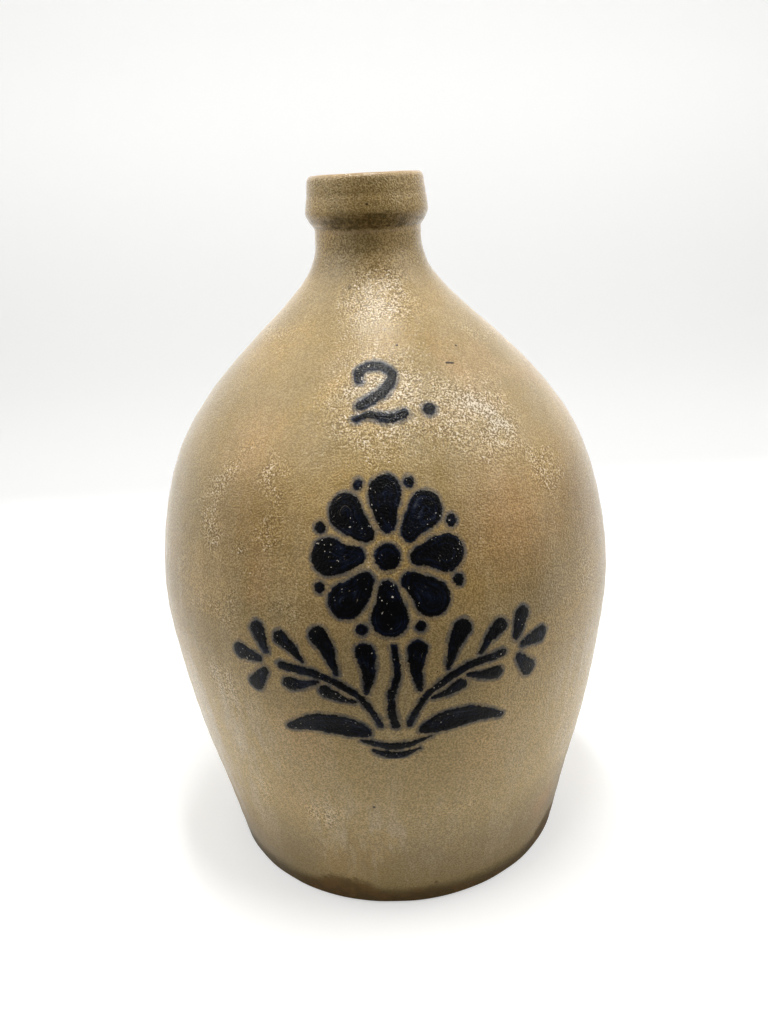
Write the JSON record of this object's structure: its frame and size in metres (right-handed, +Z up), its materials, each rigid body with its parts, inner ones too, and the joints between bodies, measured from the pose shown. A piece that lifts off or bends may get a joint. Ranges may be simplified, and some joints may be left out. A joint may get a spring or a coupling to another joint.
{
  "type": "stoneware jug",
  "caption": "Ovoid salt-glazed stoneware jug with a collared mouth, a strap handle and trailed blue slip decoration.",
  "frame": {"origin": "centre of the foot, on the surface that the jug stands on", "axes": "+Z up along the jug's axis; the decorated front faces -Y and the handle is on the +Y side"},
  "size_m": [0.232, 0.2328, 0.345],
  "materials": {
    "salt_glazed_clay": "orange-peel salt glaze over tan stoneware, satin to glossy",
    "brown_slip": "glossy dark brown slip glaze",
    "cobalt_slip": "cobalt blue slip under salt glaze, near black where thick"
  },
  "bodies": {
    "root": {"jug_body": "salt_glazed_clay", "strap_handle": "salt_glazed_clay", "slip_lining": "brown_slip", "slip_numeral": "cobalt_slip", "slip_blossom": "cobalt_slip", "slip_stems": "cobalt_slip", "slip_leaves": "cobalt_slip", "slip_ground": "cobalt_slip"}
  },
  "joints": []
}
